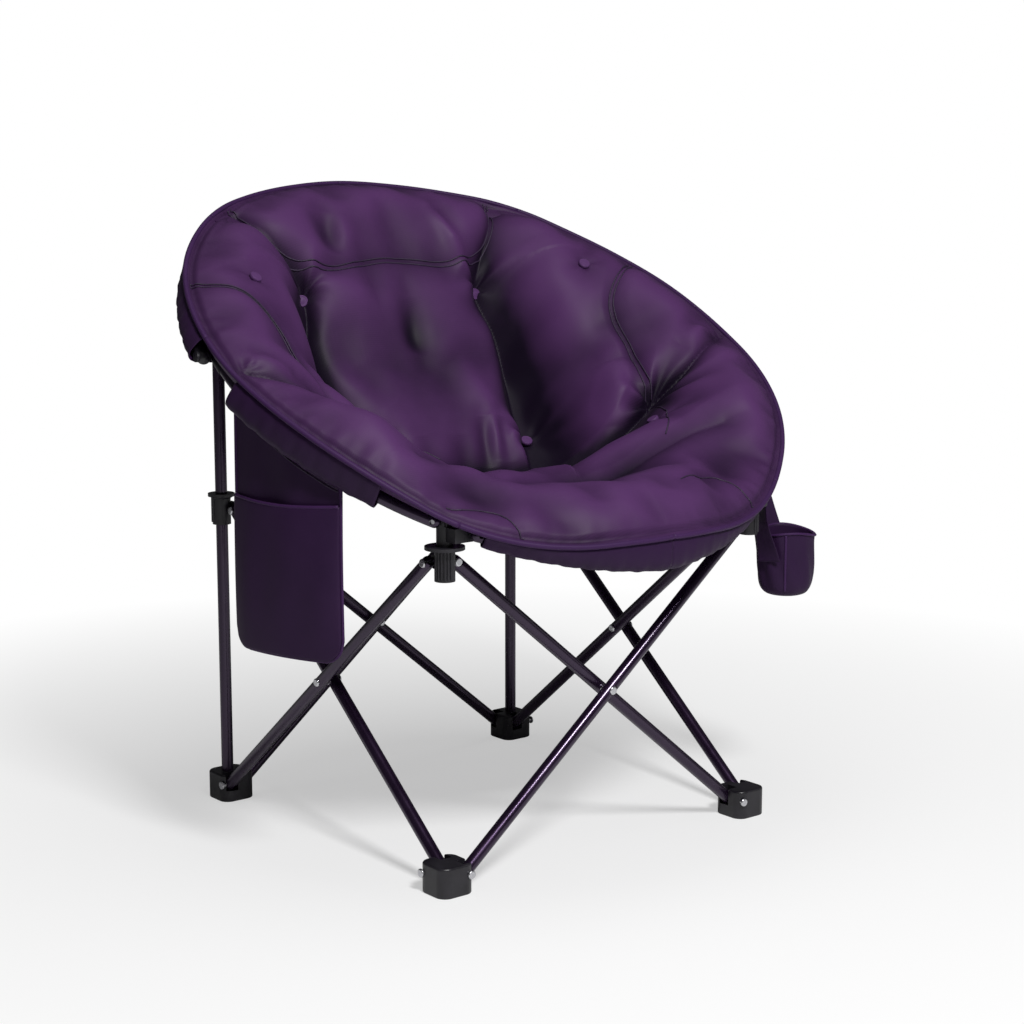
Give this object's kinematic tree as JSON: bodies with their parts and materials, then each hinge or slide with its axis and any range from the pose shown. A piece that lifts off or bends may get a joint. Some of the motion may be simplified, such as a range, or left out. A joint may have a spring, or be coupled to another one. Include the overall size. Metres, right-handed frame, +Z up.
{
  "type": "folding saucer chair",
  "caption": "Folding padded saucer seat on a round bent-tube rim, carried by scissor leg tubes, with side pocket and cup pouch.",
  "frame": {"origin": "on the floor, under the middle of the chair's whole width and depth, 15.5 mm in front of the middle of the four feet", "axes": "+Z up, -Y toward the front (the low side of the saucer), +X toward the sitter's left, which is on the right for someone who faces the chair"},
  "size_m": [0.8262, 0.7202, 0.8311],
  "materials": {
    "frame_tube": "dark metallic purple gloss",
    "moulding": "black",
    "rivet": "zinc plated",
    "seat_fabric": "deep purple satin weave"
  },
  "bodies": {
    "rear_left_post": {"foot_rear_left": "moulding", "post_rear_left": "frame_tube", "rim_bracket_rear_left": "moulding", "pins_rear_left": "rivet"},
    "rear_right_post": {"foot_rear_right": "moulding", "post_rear_right": "frame_tube", "rim_bracket_rear_right": "moulding", "pins_rear_right": "rivet"},
    "front_left_foot": {"foot_front_left": "moulding", "pins_foot_front_left": "rivet"},
    "front_right_foot": {"foot_front_right": "moulding", "pins_foot_front_right": "rivet"},
    "front_left_hub": {"hub_front_left": "moulding", "pins_hub_front_left": "rivet"},
    "front_right_hub": {"hub_front_right": "moulding", "pins_hub_front_right": "rivet"},
    "rear_left_collar": {"collar_rear_left": "moulding", "pins_collar_rear_left": "rivet"},
    "rear_right_collar": {"collar_rear_right": "moulding", "pins_collar_rear_right": "rivet"},
    "left_outer_leg": {"leg_tube_left_outer": "frame_tube", "crossing_rivet_left": "rivet"},
    "left_inner_leg": {"leg_tube_left_inner": "frame_tube"},
    "rear_outer_leg": {"leg_tube_rear_outer": "frame_tube", "crossing_rivet_rear": "rivet"},
    "rear_inner_leg": {"leg_tube_rear_inner": "frame_tube"},
    "front_outer_leg": {"leg_tube_front_outer": "frame_tube", "crossing_rivet_front": "rivet"},
    "front_inner_leg": {"leg_tube_front_inner": "frame_tube"},
    "right_outer_leg": {"leg_tube_right_outer": "frame_tube", "crossing_rivet_right": "rivet"},
    "right_inner_leg": {"leg_tube_right_inner": "frame_tube"},
    "rim_arm_front_left": {"rim_front_left": "frame_tube", "cap_front_left": "moulding", "seat_front_left": "seat_fabric"},
    "rim_arm_side_front_left": {"rim_side_front_left": "frame_tube", "cap_side_front_left": "moulding", "seat_side_front_left": "seat_fabric", "pocket": "seat_fabric"},
    "rim_arm_side_rear_left": {"rim_side_rear_left": "frame_tube", "cap_side_rear_left": "moulding", "seat_side_rear_left": "seat_fabric"},
    "rim_arm_back_left": {"rim_back_left": "frame_tube", "cap_back_left": "moulding", "seat_back_left": "seat_fabric"},
    "rim_arm_front_right": {"rim_front_right": "frame_tube", "cap_front_right": "moulding", "seat_front_right": "seat_fabric"},
    "rim_arm_side_front_right": {"rim_side_front_right": "frame_tube", "cap_side_front_right": "moulding", "seat_side_front_right": "seat_fabric", "cup_holder": "seat_fabric"},
    "rim_arm_side_rear_right": {"rim_side_rear_right": "frame_tube", "cap_side_rear_right": "moulding", "seat_side_rear_right": "seat_fabric"},
    "rim_arm_back_right": {"rim_back_right": "frame_tube", "cap_back_right": "moulding", "seat_back_right": "seat_fabric"}
  },
  "joints": [
    {"name": "fold", "type": "hinge", "parent": "rear_left_post", "child": "left_outer_leg", "pos_m": [-0.259, 0.2445, 0.024], "axis": [-1, 0, 0], "range_deg": [0, 45], "deforming": ["seat_front_left", "seat_side_front_left", "seat_side_rear_left", "seat_back_left", "seat_front_right", "seat_side_front_right", "seat_side_rear_right", "seat_back_right", "pocket", "cup_holder"]},
    {"name": "left_crossing", "type": "hinge", "parent": "left_outer_leg", "child": "left_inner_leg", "pos_m": [-0.25, 0.0155, 0.213], "axis": [-1, 0, 0], "range_deg": [-90.5, 0.5]},
    {"name": "front_left_foot_pin", "type": "hinge", "parent": "left_inner_leg", "child": "front_left_foot", "pos_m": [-0.241, -0.2135, 0.024], "axis": [-1, 0, 0], "range_deg": [-0.5, 45.5]},
    {"name": "front_left_hub_pin", "type": "hinge", "parent": "left_outer_leg", "child": "front_left_hub", "pos_m": [-0.259, -0.2135, 0.402], "axis": [-1, 0, 0], "range_deg": [-45.5, 0.5]},
    {"name": "rear_left_collar_pin", "type": "hinge", "parent": "left_inner_leg", "child": "rear_left_collar", "pos_m": [-0.241, 0.2445, 0.402], "axis": [-1, 0, 0], "range_deg": [-0.5, 45.5]},
    {"name": "rear_left_foot_pin", "type": "hinge", "parent": "rear_left_post", "child": "rear_inner_leg", "pos_m": [-0.229, 0.2565, 0.024], "axis": [0, -1, 0], "range_deg": [-0.5, 45.5]},
    {"name": "rear_crossing", "type": "hinge", "parent": "rear_inner_leg", "child": "rear_outer_leg", "pos_m": [0, 0.2655, 0.213], "axis": [0, -1, 0], "range_deg": [-90.5, 0.5]},
    {"name": "rear_right_foot_pin", "type": "hinge", "parent": "rear_outer_leg", "child": "rear_right_post", "pos_m": [0.229, 0.2745, 0.024], "axis": [0, -1, 0], "range_deg": [-0.5, 45.5]},
    {"name": "rear_right_collar_pin", "type": "hinge", "parent": "rear_inner_leg", "child": "rear_right_collar", "pos_m": [0.229, 0.2565, 0.402], "axis": [0, -1, 0], "range_deg": [-45.5, 0.5]},
    {"name": "front_left_foot_pin_2", "type": "hinge", "parent": "front_left_foot", "child": "front_outer_leg", "pos_m": [-0.229, -0.2435, 0.024], "axis": [0, -1, 0], "range_deg": [-0.5, 45.5]},
    {"name": "front_crossing", "type": "hinge", "parent": "front_outer_leg", "child": "front_inner_leg", "pos_m": [0, -0.2345, 0.213], "axis": [0, -1, 0], "range_deg": [-90.5, 0.5]},
    {"name": "front_right_foot_pin", "type": "hinge", "parent": "front_inner_leg", "child": "front_right_foot", "pos_m": [0.229, -0.2255, 0.024], "axis": [0, -1, 0], "range_deg": [-0.5, 45.5]},
    {"name": "front_right_hub_pin", "type": "hinge", "parent": "front_outer_leg", "child": "front_right_hub", "pos_m": [0.229, -0.2435, 0.402], "axis": [0, -1, 0], "range_deg": [-45.5, 0.5]},
    {"name": "rear_right_foot_pin_2", "type": "hinge", "parent": "rear_right_post", "child": "right_inner_leg", "pos_m": [0.241, 0.2445, 0.024], "axis": [-1, 0, 0], "range_deg": [-0.5, 45.5]},
    {"name": "right_crossing", "type": "hinge", "parent": "right_inner_leg", "child": "right_outer_leg", "pos_m": [0.25, 0.0155, 0.213], "axis": [-1, 0, 0], "range_deg": [-90.5, 0.5]},
    {"name": "rim_front_left_pin", "type": "hinge", "parent": "front_left_hub", "child": "rim_arm_front_left", "pos_m": [-0.22918, -0.26951, 0.4389], "axis": [0, -1, 0], "range_deg": [-0.5, 101.5]},
    {"name": "rim_side_front_left_pin", "type": "hinge", "parent": "front_left_hub", "child": "rim_arm_side_front_left", "pos_m": [-0.26972, -0.24125, 0.45622], "axis": [0.8629, 0.5054, 0], "range_deg": [-0.5, 55.9]},
    {"name": "rim_side_rear_left_pin", "type": "hinge", "parent": "rear_left_post", "child": "rim_arm_side_rear_left", "pos_m": [-0.26972, 0.25085, 0.75778], "axis": [0.7586, -0.6516, 0], "range_deg": [-116.27, 0.5]},
    {"name": "rim_back_left_pin", "type": "hinge", "parent": "rear_left_post", "child": "rim_arm_back_left", "pos_m": [-0.22918, 0.27911, 0.77509], "axis": [0, -1, 0], "range_deg": [-0.5, 78.5]},
    {"name": "rim_front_right_pin", "type": "hinge", "parent": "front_right_hub", "child": "rim_arm_front_right", "pos_m": [0.22918, -0.26951, 0.4389], "axis": [0, 1, 0], "range_deg": [-0.5, 101.5]},
    {"name": "rim_side_front_right_pin", "type": "hinge", "parent": "front_right_hub", "child": "rim_arm_side_front_right", "pos_m": [0.26972, -0.24125, 0.45622], "axis": [0.8629, -0.5054, 0], "range_deg": [-0.5, 55.9]},
    {"name": "rim_side_rear_right_pin", "type": "hinge", "parent": "rear_right_post", "child": "rim_arm_side_rear_right", "pos_m": [0.26972, 0.25085, 0.75778], "axis": [0.7586, 0.6516, 0], "range_deg": [-116.27, 0.5]},
    {"name": "rim_back_right_pin", "type": "hinge", "parent": "rear_right_post", "child": "rim_arm_back_right", "pos_m": [0.22918, 0.27911, 0.77509], "axis": [0, 1, 0], "range_deg": [-0.5, 78.5]}
  ],
  "couplings": [
    {"joint": "left_crossing", "follows": "fold", "ratio": -2},
    {"joint": "front_left_foot_pin", "follows": "fold", "ratio": 1},
    {"joint": "front_left_hub_pin", "follows": "fold", "ratio": -1},
    {"joint": "rear_left_collar_pin", "follows": "fold", "ratio": 1},
    {"joint": "rear_left_foot_pin", "follows": "fold", "ratio": 1},
    {"joint": "rear_crossing", "follows": "fold", "ratio": -2},
    {"joint": "rear_right_foot_pin", "follows": "fold", "ratio": 1},
    {"joint": "rear_right_collar_pin", "follows": "fold", "ratio": -1},
    {"joint": "front_left_foot_pin_2", "follows": "fold", "ratio": 1},
    {"joint": "front_crossing", "follows": "fold", "ratio": -2},
    {"joint": "front_right_foot_pin", "follows": "fold", "ratio": 1},
    {"joint": "front_right_hub_pin", "follows": "fold", "ratio": -1},
    {"joint": "rear_right_foot_pin_2", "follows": "fold", "ratio": 1},
    {"joint": "right_crossing", "follows": "fold", "ratio": -2},
    {"joint": "rim_front_left_pin", "follows": "fold", "ratio": 2.2444},
    {"joint": "rim_side_front_left_pin", "follows": "fold", "ratio": 1.2311},
    {"joint": "rim_side_rear_left_pin", "follows": "fold", "ratio": -2.5727},
    {"joint": "rim_back_left_pin", "follows": "fold", "ratio": 1.7333},
    {"joint": "rim_front_right_pin", "follows": "fold", "ratio": 2.2444},
    {"joint": "rim_side_front_right_pin", "follows": "fold", "ratio": 1.2311},
    {"joint": "rim_side_rear_right_pin", "follows": "fold", "ratio": -2.5727},
    {"joint": "rim_back_right_pin", "follows": "fold", "ratio": 1.7333}
  ]
}
